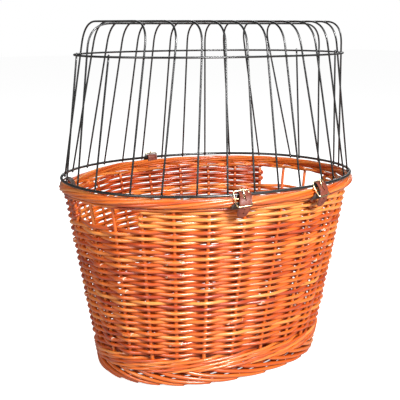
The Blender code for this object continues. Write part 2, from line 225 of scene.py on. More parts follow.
class Rods:
    """Gathers round rods into one mesh that keeps what the willow material needs.

    The mesh's grain is (metres along, radius * cos, radius * sin). Its tone is one value a rod. Its painted
    shade is
    0 on open faces and 1 deep in the weave, where shade falls. Cut ends take the second material.
    """

    def __init__(self):
        self.points, self.quads, self.caps, self.grain, self.tone, self.stain = [], [], [], [], [], []
        self.count = 0

    def add(self, path, radius, hint, tone=None, stain=0.0, sides=8, closed=False, slant=(0, 0), tall=1.0):
        """Hint points across the rod, and slant leans its end cuts that way.

        Tall makes the rod that much wider at right angles to the hint.
        """
        path = np.asarray(path, float)
        n = len(path)
        radius = np.broadcast_to(np.asarray(radius, float), (n,))
        hint = np.broadcast_to(np.asarray(hint, float), (n, 3))
        if closed:
            tangent = np.roll(path, -1, axis=0) - np.roll(path, 1, axis=0)
        else:
            tangent = np.gradient(path, axis=0)
        tangent /= np.linalg.norm(tangent, axis=1, keepdims=True)
        normal = hint - tangent * np.sum(hint * tangent, axis=1, keepdims=True)
        normal /= np.linalg.norm(normal, axis=1, keepdims=True)
        side = np.cross(tangent, normal)
        turn = np.arange(sides) * 2 * pi / sides
        c, s = np.cos(turn)[None, :, None], np.sin(turn)[None, :, None]
        ring = normal[:, None, :] * c + side[:, None, :] * s * tall
        points = path[:, None, :] + ring * radius[:, None, None]
        for end, amount in zip((0, -1), slant):
            points[end] += tangent[end] * (amount * radius[end] * np.cos(turn))[:, None]
        tone = random.random() if tone is None else tone
        run = np.broadcast_to(run_along(path)[:, None] + random.random() * 20, (n, sides))
        grain = np.stack([run, radius[:, None] * np.cos(turn), radius[:, None] * np.sin(turn)], -1)

        index = self.count + np.arange(n * sides).reshape(n, sides)
        ahead = np.roll(index, -1, axis=0) if closed else index[1:]
        here = index if closed else index[:-1]
        quads = np.stack([here, np.roll(here, -1, axis=1), np.roll(ahead, -1, axis=1), ahead], axis=-1)
        self.quads.append(quads.reshape(-1, 4))
        if not closed:
            self.caps += [index[0][::-1].tolist(), index[-1].tolist()]
        self.points.append(points.reshape(-1, 3))
        self.grain.append(grain.reshape(-1, 3))
        self.tone.append(np.full(n * sides, tone))
        stain = np.reshape(stain, (-1, 1)) if np.ndim(stain) else stain
        self.stain.append(np.broadcast_to(stain, (n, sides)).reshape(-1))
        self.count += n * sides

    def build(self, name, materials):
        quads = np.concatenate(self.quads)
        data = bpy.data.meshes.new(name)
        data.from_pydata(np.concatenate(self.points).tolist(), [], quads.tolist() + self.caps)
        for label in ("grain", "tone", "stain"):
            set_attribute(data, label, np.concatenate(getattr(self, label)))
        for material in materials:
            data.materials.append(material)
        cap = np.zeros(len(data.polygons), int)
        cap[len(quads):] = 1
        if len(materials) > 1:
            data.polygons.foreach_set("material_index", cap)
        data.polygons.foreach_set("use_smooth", cap == 0)
        data.update()
        return new_object(name, data)


def place(item, body, nodes=()):
    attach(item, body)
    if nodes:
        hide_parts(*nodes)


def wave(count=4, low=2, high=9):
    """A slow random curve round the oval, within about -1 to 1; a function of bays."""
    turns = random.integers(low, high, count)
    phases = random.random(count) * 2 * pi
    sizes = random.random(count) + 0.4
    sizes = sizes / sizes.sum()

    def value(bays):
        bays = np.asarray(bays, float)
        return sum(a * np.sin(2 * pi * k * bays / STAKE_COUNT + p) for a, k, p in zip(sizes, turns, phases))

    return value


# ---- materials ----

class Nodes:
    """Short calls for building a node tree round a Principled shader."""

    def __init__(self, name):
        self.material = bpy.data.materials.new(name)
        self.material.use_nodes = True
        self.tree = self.material.node_tree
        self.shader = self.tree.nodes["Principled BSDF"]

    def link(self, value, socket):
        if isinstance(value, bpy.types.NodeSocket):
            self.tree.links.new(value, socket)
        elif value is not None:
            socket.default_value = value

    def add(self, kind, **settings):
        node = self.tree.nodes.new(kind)
        for key, value in settings.items():
            setattr(node, key, value)
        return node

    def attribute(self, name, output="Fac"):
        return self.add("ShaderNodeAttribute", attribute_name=name).outputs[output]

    def object_place(self):
        return self.add("ShaderNodeTexCoord").outputs["Object"]

    def maths(self, operation, *values):
        node = self.add("ShaderNodeMath", operation=operation)
        for value, socket in zip(values, node.inputs):
            self.link(value, socket)
        return node.outputs[0]

    def scaled(self, vector, scale, shift=None):
        node = self.add("ShaderNodeVectorMath", operation="MULTIPLY_ADD")
        for value, socket in zip((vector, scale, shift), node.inputs):
            self.link(value, socket)
        return node.outputs[0]

    def noise(self, vector, scale=1.0, detail=3.0, roughness=0.55):
        node = self.add("ShaderNodeTexNoise")
        self.link(vector, node.inputs["Vector"])
        node.inputs["Scale"].default_value = scale
        node.inputs["Detail"].default_value = detail
        node.inputs["Roughness"].default_value = roughness
        return node.outputs["Fac"]

    def ramp(self, value, stops):
        node = self.add("ShaderNodeValToRGB")
        self.link(value, node.inputs["Fac"])
        elements = node.color_ramp.elements
        while len(elements) < len(stops):
            elements.new(0.5)
        for element, (position, colour) in zip(elements, stops):
            element.position = position
            element.color = (*colour, 1.0)
        return node.outputs["Color"]

    def span(self, value, low, high, to_low=0.0, to_high=1.0):
        node = self.add("ShaderNodeMapRange", clamp=True)
        self.link(value, node.inputs["Value"])
        for key, number in (("From Min", low), ("From Max", high), ("To Min", to_low), ("To Max", to_high)):
            node.inputs[key].default_value = number
        return node.outputs["Result"]

    def mix(self, share, a, b):
        node = self.add("ShaderNodeMix", data_type="RGBA")
        self.link(share, node.inputs[0])
        for value, socket in ((a, node.inputs[6]), (b, node.inputs[7])):
            self.link((*value, 1.0) if isinstance(value, tuple) else value, socket)
        return node.outputs[2]

    def bump(self, height, distance, strength=1.0, normal=None):
        node = self.add("ShaderNodeBump")
        node.inputs["Strength"].default_value = strength
        node.inputs["Distance"].default_value = distance
        self.link(height, node.inputs["Height"])
        self.link(normal, node.inputs["Normal"])
        return node.outputs["Normal"]

    def finish(self, colour, roughness, normal=None, **sockets):
        self.link(colour, self.shader.inputs["Base Color"])
        self.link(roughness, self.shader.inputs["Roughness"])
        self.link(normal, self.shader.inputs["Normal"])
        for key, value in sockets.items():
            self.shader.inputs[key.replace("_", " ")].default_value = value
        return self.material


WILLOW_TONES = ((0.0, (0.42, 0.040, 0.002)), (0.25, (0.60, 0.085, 0.005)), (0.55, (0.76, 0.140, 0.010)),
                (0.8, (0.84, 0.20, 0.024)), (1.0, (0.90, 0.31, 0.060)))
# Painted shade: the third colour below darkens the weave's deep recesses.
FIBRE_BROWN, KNOT_BROWN, PAINTED_RECESS_SHADE = (0.45, 0.075, 0.010), (0.14, 0.03, 0.006), (0.15, 0.010, 0.001)
CUT_TONES = (0.3, (0.55, 0.28, 0.15)), (0.5, (0.80, 0.55, 0.38)), (0.7, (0.88, 0.70, 0.54))
COATING_TONES = (0.35, (0.006, 0.007, 0.007)), (0.6, (0.012, 0.013, 0.013)), (0.8, (0.03, 0.031, 0.031))
LEATHER_TONES = (0.25, (0.12, 0.024, 0.012)), (0.5, (0.23, 0.050, 0.026)), (0.75, (0.34, 0.095, 0.054))
FLESH_TONES = (0.3, (0.035, 0.024, 0.02)), (0.7, (0.085, 0.062, 0.052))
PORE_BROWN, EDGE_BROWN = (0.10, 0.02, 0.012), (0.09, 0.022, 0.014)
BRASS_TONES = (0.3, (0.46, 0.34, 0.15)), (0.5, (0.80, 0.66, 0.38)), (0.75, (0.92, 0.82, 0.58))


def willow_material(name, light=0.0):
    """Stained, varnished willow: streaks along the rod, slow drifts of colour, knots, and painted shade in
    the recesses.
    """
    n = Nodes(name)
    grain = n.attribute("grain", "Vector")
    tone = n.attribute("tone")
    stain = n.attribute("stain")
    apart = n.maths("MULTIPLY", tone, 61.0)
    streak = n.noise(n.scaled(grain, (55, 1500, 1500), apart), detail=4, roughness=0.6)
    drift = n.noise(n.scaled(grain, (16, 160, 160), apart), detail=2)
    knots = n.noise(n.scaled(grain, (38, 520, 520), apart), detail=1)
    # A light above 0 lifts the whole tone: painted light, for the lit rim.
    level = n.maths("MULTIPLY_ADD", n.maths("SUBTRACT", drift, 0.5), 0.9, n.maths("ADD", tone, light))
    level = n.maths("MULTIPLY_ADD", n.maths("SUBTRACT", streak, 0.5), 0.4, level)
    colour = n.ramp(level, WILLOW_TONES)
    fibre = n.span(streak, 0.36, 0.5)
    colour = n.mix(n.maths("MULTIPLY", n.maths("SUBTRACT", 1.0, fibre), 0.3), colour, FIBRE_BROWN)
    spots = n.span(knots, 0.70, 0.76)
    colour = n.mix(n.maths("MULTIPLY", spots, 0.7), colour, KNOT_BROWN)
    # Painted shade: deep in the weave the colour darkens and the coat thins.
    deep = n.maths("MULTIPLY", stain, n.span(drift, 0.2, 0.8, 0.8, 1.0))
    colour = n.mix(deep, colour, PAINTED_RECESS_SHADE)
    roughness = n.maths("MULTIPLY_ADD", streak, 0.2, 0.34)
    normal = n.bump(streak, 0.00022, 0.7)
    normal = n.bump(spots, 0.0003, 0.6, normal)
    n.link(n.span(stain, 0.0, 0.5, 1.0, 0.1), n.shader.inputs["Coat Weight"])
    return n.finish(colour, roughness, normal, Coat_Roughness=0.25, Coat_IOR=1.65, Specular_IOR_Level=0.35)


def cut_willow_material(name):
    """The pale, flecked cut end of a rod."""
    n = Nodes(name)
    grain = n.attribute("grain", "Vector")
    fleck = n.noise(n.scaled(grain, (300, 2600, 2600)), detail=3)
    colour = n.ramp(fleck, CUT_TONES)
    return n.finish(colour, n.maths("MULTIPLY_ADD", fleck, 0.2, 0.6), n.bump(fleck, 0.0002, 0.6))


def wire_material():
    """Black plastic coating: almost smooth and glossy, with a little orange peel, dust and rub marks."""
    n = Nodes("coated_wire")
    where = n.object_place()
    peel = n.noise(where, scale=900, detail=2)
    dust = n.noise(where, scale=60, detail=5, roughness=0.65)
    roughness = n.span(dust, 0.3, 0.75, 0.22, 0.36)
    normal = n.bump(peel, 0.00012, 0.5)
    return n.finish(n.ramp(dust, COATING_TONES), roughness, normal, Specular_IOR_Level=0.9)


def leather_material():
    """Strap leather: lay is metres along, metres across, and 1 on the grain side or 0 on the flesh side."""
    n = Nodes("strap_leather_looks")
    lay = n.attribute("lay", "Vector")
    parts = n.add("ShaderNodeSeparateXYZ")
    n.link(lay, parts.inputs[0])
    where = n.object_place()
    cells = n.add("ShaderNodeTexVoronoi", feature="DISTANCE_TO_EDGE")
    n.link(where, cells.inputs["Vector"])
    cells.inputs["Scale"].default_value = 1500
    pebble = n.span(cells.outputs["Distance"], 0.0, 0.25)
    mottle = n.noise(where, scale=190, detail=5, roughness=0.6)
    wrinkle = n.noise(n.scaled(lay, (900, 160, 40)), detail=3)
    colour = n.ramp(mottle, LEATHER_TONES)
    colour = n.mix(n.maths("MULTIPLY", n.maths("SUBTRACT", 1.0, pebble), 0.35), colour, PORE_BROWN)
    edge = n.span(n.maths("ABSOLUTE", parts.outputs[1]), 0.0070, 0.0083)
    colour = n.mix(n.maths("MULTIPLY", edge, 0.55), colour, EDGE_BROWN)
    grain_side = n.span(parts.outputs[2], 0.35, 0.65)
    colour = n.mix(grain_side, n.ramp(mottle, FLESH_TONES), colour)
    roughness = n.maths("MULTIPLY_ADD", grain_side, -0.36, n.span(mottle, 0.3, 0.7, 0.72, 0.86))
    normal = n.bump(pebble, 0.00012, 0.5)
    normal = n.bump(wrinkle, 0.0003, 0.5, normal)
    return n.finish(colour, roughness, normal, Coat_Weight=0.15, Coat_Roughness=0.3)


def brass_material():
    """Pale brass plating with faint brushing, darkened in patches."""
    n = Nodes("buckle_brass_looks")
    where = n.object_place()
    patches = n.noise(where, scale=260, detail=4, roughness=0.6)
    brush = n.noise(where, scale=1800, detail=2)
    roughness = n.span(patches, 0.3, 0.7, 0.34, 0.18)
    return n.finish(n.ramp(patches, BRASS_TONES), roughness, n.bump(brush, 0.00006, 0.5), Metallic=1.0)


WILLOW = [willow_material("willow_looks"), cut_willow_material("willow_cut")]
# The rim's willow is a lighter copy: painted light for the top of the basket, where light falls.
LIT_RIM_WILLOW = [willow_material("willow_rim_painted_light_looks", 0.06), WILLOW[1]]
WIRE = wire_material()
LEATHER = leather_material()
BRASS = brass_material()


# ---- the basket ----

def weave(bays, row):
    """A weaver's swing at a place, from 1 outside a stake to -1 inside it, nearly straight between stakes."""
    x = pi * (np.asarray(bays, float) + row)
    return (np.cos(x) + 0.09 * np.cos(3 * x)) / 1.09


def painted_depth_shade(swing):
    """Painted shade: dark only where a rod goes deep behind the stakes, where shade falls."""
    return np.clip(-1.15 * np.asarray(swing) / WEAVER_SWING - 0.35, 0.0, 0.75)


def row_height(row, shared, own):
    """Rows rise and fall together, more so towards the rim, and each a little by itself."""
    base = SIDE_BOTTOM + (row + 0.5) * ROW_PITCH
    share = row / ROW_COUNT

    def height(bays):
        return base + ROW_WAVE * share * (1 - share ** 6) * shared(bays) + ROW_WANDER * own(bays)

    return height


def weaver(rods, row, height, start, end, outside_start, outside_end):
    """One rod along a row from stake to stake, its two ends lying beside the stakes."""
    first = start - WEAVER_REACH * (0.8 + 0.4 * random.random())
    last = end + WEAVER_REACH * (0.8 + 0.4 * random.random())
    bays = np.linspace(first, last, ceil((last - first) * BAY_STEPS) + 1)
    swing = WEAVER_SWING * weave(bays, row)
    near_start = smoothstep(1 - (bays - first) / 0.8)
    near_end = smoothstep(1 - (last - bays) / 0.8)
    swing += near_start * (END_OUT if outside_start else END_IN)
    swing += near_end * (END_OUT if outside_end else END_IN)
    z = height(bays) - END_SHIFT * near_start + END_SHIFT * near_end
    share = (bays - first) / (last - first)
    thick, thin = WEAVER_RADIUS
    radius = (thick + (thin - thick) * share) * (0.95 + 0.1 * random.random())
    slant = (1.2 if outside_start else -0.8, -1.2 if outside_end else 0.8)
    rods.add(wall_points(bays, z, swing), radius, wall_normals(bays), stain=painted_depth_shade(swing), slant=slant,
             tall=WEAVER_TALL)


def row_ends(row):
    """Stakes where a row's rods meet, and whether they meet outside the wall."""
    first = int(random.integers(0, STAKE_COUNT))
    stakes = [first + round(i * STAKE_COUNT / RODS_PER_ROW) + int(random.integers(-2, 3))
              for i in range(RODS_PER_ROW)]
    return stakes, [(stake + row) % 2 == 0 for stake in stakes]


def add_side():
    shared = wave(5, 3, 12)
    heights = [row_height(row, shared, wave()) for row in range(ROW_COUNT)]
    for first in range(0, FULL_ROWS, ROWS_PER_PIECE):
        rods = Rods()
        for row in range(first, min(first + ROWS_PER_PIECE, FULL_ROWS)):
            stakes, outside = row_ends(row)
            for i, start in enumerate(stakes):
                j = (i + 1) % len(stakes)
                end = stakes[j] + (STAKE_COUNT if j == 0 else 0)
                weaver(rods, row, heights[row], start, end, outside[i], outside[j])
        nodes = ("side_wall",) if first == 0 else ()
        place(rods.build(f"side_weave_{first // ROWS_PER_PIECE + 1}", WILLOW), "root", nodes)
    add_hand_hole_rows(heights)


def add_hand_hole_rows(heights):
    """The top rows go to and fro between the hand holes, turning round the stakes beside them."""
    for number, (left, right) in enumerate(HOLE_ARCS, start=1):
        rods = Rods()
        bays, z, swing = [], [], []
        for row in range(FULL_ROWS, ROW_COUNT):
            forward = (row - FULL_ROWS) % 2 == 0
            run = np.linspace(left, right, (right - left) * BAY_STEPS + 1)
            run = run if forward else run[::-1]
            bays.append(run)
            z.append(heights[row](run))
            swing.append(WEAVER_SWING * weave(run, row))
            if row == ROW_COUNT - 1:
                break
            stake, side = (right, 1) if forward else (left, -1)
            sign = float(np.sign(weave(stake, row)))
            turn = np.linspace(0, pi, 9)[1:-1]
            bays.append(stake + side * WEAVER_SWING * np.sin(turn) / bay_length(stake))
            swing.append(sign * WEAVER_SWING * np.cos(turn))
            z.append(heights[row](stake) + (heights[row + 1](stake) - heights[row](stake)) * turn / pi)
        bays, z, swing = (np.concatenate(part) for part in (bays, z, swing))
        radius = HOLE_WEAVER_RADIUS * (1 + 0.08 * np.sin(np.linspace(0, 23, len(bays))))
        rods.add(wall_points(bays, z, swing), radius, wall_normals(bays), stain=painted_depth_shade(swing),
                 tall=WEAVER_TALL)
        place(rods.build(f"hand_hole_weave_{number}", WILLOW), "root")


def add_stakes():
    rods = Rods()
    for i in range(STAKE_COUNT):
        z = np.linspace(STAKE_BOTTOM, STAKE_TOP, 46)
        bays = np.full_like(z, i)
        radius = np.linspace(*STAKE_RADIUS, len(z)) * (0.96 + 0.08 * random.random())
        lean = 0.0004 * np.sin(z * 90 + random.random() * 6)
        points = wall_points(bays + lean / bay_length(i), z, 0.0)
        # The stakes carry a little painted shade.
        rods.add(points, radius, wall_normals(bays), sides=10, tone=0.45 + 0.35 * random.random(), stain=0.05)
    place(rods.build("stakes", WILLOW), "root",
          [f"{side}_handle_stake_{number}" for side in ("left", "right") for number in (1, 2)])


WALE_START = 6.3  # bays from the first stake to the start of a wale
BOTTOM_WALE = {"rounds": 3, "z": 0.0230, "pitch": 0.0060, "stroke": 0.0036, "radius": 0.0022, "depth": 0.0042}
TOP_WALE = {"rounds": 1, "z": 0.2538, "pitch": 0.0, "stroke": 0.0012, "radius": 0.0016, "depth": 0.0040}


def wale_path(bays, first, z, stroke, depth):
    """A three-rod wale: before two stakes, behind one, each rod passing over its fellows in turn."""
    phase = (bays - first) % 3
    near = np.minimum(np.minimum(phase, 3 - phase), 1.0)
    swing = -depth * np.cos(pi * near)
    later = np.where(phase < 2.5, phase - 1.5, 1 - 2 * (phase - 2.5))
    climb = np.where(phase < 0.5, 1 - 2 * (phase + 0.5), later)
    return z + stroke * climb, swing


def add_wale(node, rounds, z, pitch, stroke, radius, depth):
    """Rods that wind round the wall from height z, climbing a pitch a round."""
    rods = Rods()
    for number in range(3):
        start = WALE_START + number
        bays = np.linspace(start, start + STAKE_COUNT * rounds + 0.7, int(STAKE_COUNT * rounds * BAY_STEPS))
        rise = z + pitch * (bays - start) / STAKE_COUNT
        height, swing = wale_path(bays, number, rise, stroke, depth)
        size = radius * (1 + 0.06 * wave(5, 3, 12)(bays))
        rods.add(wall_points(bays, height, swing), size, wall_normals(bays), stain=painted_depth_shade(swing) * 0.8)
    place(rods.build(f"{node}_weave", WILLOW), "root", (node,))


RIM_BAYS = 6.0  # how far a stake's end runs along the border
RIM_COIL, RIM_ROD, RIM_CORE = 0.0041, 0.0023, 0.0024  # the winding's radius and the rods' own
RIM_START = -150  # degrees round the border's section, from outwards towards up


def rim_frame(angle):
    centre = oval_point(BORDER, angle, BORDER_Z) - np.stack([np.zeros_like(angle)] * 2 + [rim_sag(angle)], -1)
    return centre, outward(BORDER, angle)


def add_rim():
    """Each stake lies down and winds once round the border over six bays, tight against its neighbours."""
    rods = Rods()
    up = np.array([0, 0, 1.0])
    for i in range(STAKE_COUNT):
        t = np.linspace(0, RIM_BAYS + 0.35, int(RIM_BAYS * BAY_STEPS) + 4)
        angle = bay_angle(i + t)
        centre, out = rim_frame(angle)
        turn = np.radians(RIM_START + 360 * t / RIM_BAYS)
        size = RIM_COIL * (1 - 0.45 * smoothstep((t - RIM_BAYS + 0.8) / 1.0))
        size = size + 0.0002 * np.sin(t * 2.1 + random.random() * 6)
        place_out, place_up = size * np.cos(turn), size * np.sin(turn)
        join = 1 - smoothstep(t / 0.9)
        stake_top = wall_points([i], [STAKE_TOP], 0.0)[0] - centre[0]
        place_out = place_out * (1 - join) + (stake_top @ out[0]) * join
        place_up = place_up * (1 - join) + stake_top[2] * join
        path = centre + out * place_out[:, None] + up * place_up[:, None]
        hint = out * np.cos(turn)[:, None] + up * np.sin(turn)[:, None]
        thick = RIM_ROD * (1.0 - 0.10 * t / RIM_BAYS) * (0.95 + 0.1 * random.random())
        # Painted shade: each winding darkens where it turns to the border's inner side.
        stain = np.clip(0.12 - 0.25 * np.cos(turn), 0, 0.45)
        rods.add(path, thick, hint, tone=0.25 + 0.6 * random.random(), stain=stain, sides=10, slant=(0, 0.8))
    around = np.linspace(0, 360, 181)[:-1]
    centre, out = rim_frame(around)
    # The core inside the windings takes heavy painted shade.
    rods.add(centre, RIM_CORE, out, tone=0.2, stain=0.8, closed=True)
    place(rods.build("rim", LIT_RIM_WILLOW), "root", ("top_border",))


def smooth_through(points, parts=6):
    """A Catmull-Rom curve through points of any dimension, with so many steps from each to the next."""
    points = np.asarray(points, float)
    padded = np.vstack([points[:1], points, points[-1:]])
    route = []
    for i in range(len(points) - 1):
        a, b, c, d = padded[i:i + 4]
        for t in np.arange(parts) / parts:
            route.append(0.5 * (2 * b + (c - a) * t + (2 * a - 5 * b + 4 * c - d) * t ** 2
                                + (3 * b - a - 3 * c + d) * t ** 3))
    return np.array(route + [points[-1]])


# A foot rod: bays along, metres outwards and height, from beside its stake down to its cut end.
FOOT_ROUTE = ((-0.15, -0.0022, 0.0330), (0.02, -0.0004, 0.0258), (0.35, 0.0010, 0.0205),
              (0.8, 0.0016, 0.0162), (1.4, 0.0014, 0.0118), (2.0, 0.0006, 0.0078),
              (2.6, -0.0006, 0.0046), (3.1, -0.0020, 0.0030))
FOOT_ROD = (0.0029, 0.0024)  # radius at the stake and at the cut end
FOOT_FRONT, FOOT_BACK = 0.0030, 0.0082  # how deep the outer and the inner rods lie


def add_foot():
    """A rod from beside each stake sweeps down over its neighbours; inner rods run the other way."""
    rods = Rods()
    for i in range(STAKE_COUNT):
        for depth, turn, tone in ((FOOT_FRONT, 1, 0.35 + 0.5 * random.random()), (FOOT_BACK, -1, 0.3)):
            route = smooth_through(FOOT_ROUTE)
            bays, swing, z = turn * route[:, 0] + i + 0.1, route[:, 1], route[:, 2]
            thick = np.linspace(*FOOT_ROD, len(bays)) * (0.95 + 0.1 * random.random())
            z = np.maximum(z + 0.0003 * np.sin(bays * 3 + i), thick + 0.0001)
            angle = bay_angle(bays)
            path = oval_point(FOOT, angle, z) + outward(FOOT, angle) * (swing * turn - depth)[:, None]
            # Painted shade: the inner rods darker than the outer ones.
            rods.add(path, thick, outward(FOOT, angle), tone=tone, stain=0.08 if turn > 0 else 0.3, sides=10,
                     slant=(0, 1.1))
    place(rods.build("foot", WILLOW), "root", ("foot_border",))


SPOKE_RADIUS, SPINE_RADIUS, SPINE_HALF_GAP = 0.0023, 0.0025, 0.0028
BASE_ROD, BASE_ROD_TALL = 0.0022, 1.25
BASE_PITCH, BASE_SWING, BASE_EDGE = 0.0046, 0.0026, 0.0060


def add_base():
    """The woven oval base: spokes from a spine, with rings of rods over and under them."""
    rods = Rods()
    half = np.array(wall_half(BASE_Z)) - STAKE_DEPTH
    spine = half[0] - half[1] * 0.92
    for i in range(STAKE_COUNT):
        angle = FIRST_STAKE + i * BAY
        rim = oval_point(half, angle, BASE_Z)
        root_x = float(np.clip(rim[0], -spine, spine) * 0.9)
        path = np.linspace((root_x, 0.0, BASE_Z), rim, 30)
        # Spokes and spine carry an even painted shade.
        rods.add(path, SPOKE_RADIUS, (0, 0, 1), tone=0.4 + 0.3 * random.random(), stain=0.3)
    for side in (-1, 1):
        y = side * SPINE_HALF_GAP
        rods.add(np.linspace((-spine, y, BASE_Z), (spine, y, BASE_Z), 40), SPINE_RADIUS, (0, 0, 1), stain=0.3)
    place(rods.build("base_spokes", WILLOW), "root")

    rods = Rods()
    bays = np.linspace(0, STAKE_COUNT, STAKE_COUNT * 6 + 1)[:-1]
    for ring in range(int((half[1] - BASE_EDGE) / BASE_PITCH)):
        size = half - (BASE_EDGE + ring * BASE_PITCH)
        fade = min(1.0, size[1] / 0.03)
        z = BASE_Z + BASE_SWING * fade * np.cos(pi * (bays + ring)) + 0.0003 * wave()(bays)
        path = oval_point(size, bay_angle(bays), z)
        # The rings carry an even painted shade.
        rods.add(path, BASE_ROD, (0, 0, 1), stain=0.35, closed=True, sides=6, tall=BASE_ROD_TALL)
    place(rods.build("base_weave", WILLOW), "root", ("woven_base",))


# ---- the wire dome ----

HOOP_COUNT = 12
LOWER_HOOP_MIDDLE, UPPER_HOOP_MIDDLE = 0.009, 0.0077  # along X
LOWER_HOOP_STEP, UPPER_HOOP_STEP = 0.0375, 0.0308
LOWER_HOOP_REACH = 0.197  # the outermost feet are no further from the hoops' middle
LEG_CLEARANCE = 0.0156  # from a strap's middle line to a foot
LOWER_END_WIRE, UPPER_END_WIRE = 12.0, 16.5
FOOT_DROP = 0.0018
END_WIRE_RISE = 0.0012
DOME_BEND = 0.032
GAP = 0.0003
WIRE_SIDES = 12
FOOT_WELD, UPPER_WELD = 0.0016, 0.0017


def leg(lower_angle, upper_angle):
    """The foot of a leg and where it leans on the upper ring, inside both rings."""
    low = oval_point(LOWER_RING, lower_angle, LOWER_RING_Z - FOOT_DROP)
    low = low - outward(LOWER_RING, lower_angle) * (LOWER_RING_RADIUS + WIRE_RADIUS)
    high = oval_point(UPPER_RING, upper_angle, UPPER_RING_Z) + UPPER_RING_SHIFT
    high = high - outward(UPPER_RING, upper_angle) * (UPPER_RING_RADIUS + WIRE_RADIUS)
    return low, high


def angle_at(half, x):
    """The angle, on the back half of an oval, of a point at x."""
    return float(np.degrees(np.arccos(np.sign(x) * (abs(x) / half[0]) ** (OVAL_POWER / 2))))


def hoop_leg(number, side):
    """A cross hoop's leg, on the back for side 1 or the front for side -1, its foot clear of the straps."""
    steps = number - (HOOP_COUNT - 1) / 2
    x = LOWER_HOOP_MIDDLE + float(np.clip(steps * LOWER_HOOP_STEP, -LOWER_HOOP_REACH, LOWER_HOOP_REACH))
    for matrix in STRAPS.values():
        strap = matrix.translation
        if strap.y * side > 0 and abs(x - strap.x) < LEG_CLEARANCE:
            x = strap.x + float(np.copysign(LEG_CLEARANCE, x - strap.x))
    upper_x = UPPER_HOOP_MIDDLE + steps * UPPER_HOOP_STEP - UPPER_RING_SHIFT[0]
    return leg(side * angle_at(LOWER_RING, x), side * angle_at(UPPER_RING, upper_x))


def unit(vector):
    return vector / np.linalg.norm(vector)


def over_the_top(start, end, top):
    """One wire from foot to foot: two straight legs, round shoulders and a nearly level top."""
    feet, corners = [], []
    for low, high in (start, end):
        feet.append(low)
        corners.append(low + (high - low) * (top - low[2]) / (high[2] - low[2]))
    across = unit(corners[1] - corners[0])
    legs, bends = [], []
    for foot, corner, way in zip(feet, corners, (across, -across)):
        down = unit(foot - corner)
        a, b = corner + down * DOME_BEND, corner + way * DOME_BEND
        t = np.linspace(0, 1, 13)[:, None]
        bends.append(a * (1 - t) ** 2 + corner * 2 * t * (1 - t) + b * t ** 2)
        legs.append(np.linspace(foot, a, 14)[:-1])
    flat = np.linspace(bends[0][-1], bends[1][-1], 12)[1:-1]
    return np.vstack([legs[0], bends[0], flat, bends[1][::-1], legs[1][::-1]])


def weld(rods, point, direction, size):
    """A bead of weld and coating where two wires meet."""
    along = np.linspace(-1, 1, 9)
    path = np.asarray(point) + np.asarray(direction) * (along * size * 1.9)[:, None]
    rods.add(path, size * np.sqrt(np.clip(1 - along ** 2, 0.03, 1)), (0.3, 0.5, 0.1), sides=10)


def add_dome():
    rods = Rods()
    around = np.linspace(0, 360, 241)[:-1]
    rods.add(oval_point(LOWER_RING, around, LOWER_RING_Z), LOWER_RING_RADIUS, outward(LOWER_RING, around),
             closed=True, sides=WIRE_SIDES)
    rods.add(oval_point(UPPER_RING, around, UPPER_RING_Z) + UPPER_RING_SHIFT, UPPER_RING_RADIUS,
             outward(UPPER_RING, around), closed=True, sides=WIRE_SIDES)
    legs = []
    for i in range(HOOP_COUNT):
        pair = hoop_leg(i, 1), hoop_leg(i, -1)
        legs += pair
        rods.add(over_the_top(*pair, DOME_Z), WIRE_RADIUS, (0.9, 0.05, 0.4), sides=WIRE_SIDES)
    pair = leg(0, 0), leg(180, 180)
    legs += pair
    rods.add(over_the_top(*pair, DOME_Z - 2 * WIRE_RADIUS - GAP), WIRE_RADIUS, (0.02, 1, 0), sides=WIRE_SIDES)
    for end in (0, 180):
        for side in (-1, 1):
            low, high = leg(end + side * LOWER_END_WIRE, end + side * UPPER_END_WIRE)
            legs.append((low, high))
            tip = high + unit(high - low) * END_WIRE_RISE
            rods.add(np.linspace(low, tip, 20), WIRE_RADIUS, (0.02, 1, 0), sides=WIRE_SIDES)
    for low, high in legs:
        rise = unit(high - low)
        weld(rods, low + rise * FOOT_DROP, rise, FOOT_WELD)
        weld(rods, high, rise, UPPER_WELD)
    nodes = [name for name in frame["nodes"] if name.startswith("cross_hoop_") or "end_wire" in name]
    nodes += ["lower_ring", "upper_ring", "long_hoop"]
    place(rods.build("wire_dome", [WIRE]), "dome", nodes)


# ---- straps and buckles ----

BORDER_FROM_RING = (-0.0020, BORDER_Z - LOWER_RING_Z)
RING_WRAP, BORDER_WRAP = 0.0036, 0.0084  # from the wire's and the border's middle to the strap's
ANCHOR_BEND, ANCHOR_END_ANGLE = 0.002, 370.0
SPLIT_DROP = 0.0012
OUTER_RUN = ((0.0070, -0.0020), (0.0097, -0.0065), (0.0108, -0.0125), (0.0098, -0.0185), (0.0062, -0.0275))
LEFT_STRAP_ANGLE, LEFT_STRAP_ARC = 143.0, (-75.0, 180.0)
LEFT_STRAP_TAIL = ((-0.0122, -0.008), (-0.0145, -0.021))

# How a strap strays along the rim: shares of its length, and metres there.
STRAIGHT = (0, 1), (0, 0)
TONGUE_STRAY = (0, 0.3, 1), (-0.0028, -0.0028, 0.0042)
ANCHOR_STRAY = (0, 0.42, 0.62, 0.85, 1), (-0.0028, -0.0028, 0.0085, 0.0085, 0.0035)
LEFT_STRAY = (0, 1), (0.0015, -0.0015)

TIP_LENGTH, TIP_WIDTH = 0.0095, 0.0022
HOLE_RADIUS, HOLES_FROM_TIP = 0.00105, (0.0062, 0.0118, 0.0230)
PRONG_SLOT_ENDS, PRONG_SLOT_WIDTH = ((0.0085, -0.0049), (0.0023, 0.0030)), 0.0028
CUTTER_DEPTH, SLOT_DEPTH = 0.006, 0.008
STRAP_STEP = 0.0008
EDGE_RADIUS, CREASE_INSET, CREASE_HALF, CREASE_DEPTH = 0.0005, 0.0013, 0.0004, 0.00016
CROWN = 0.00008

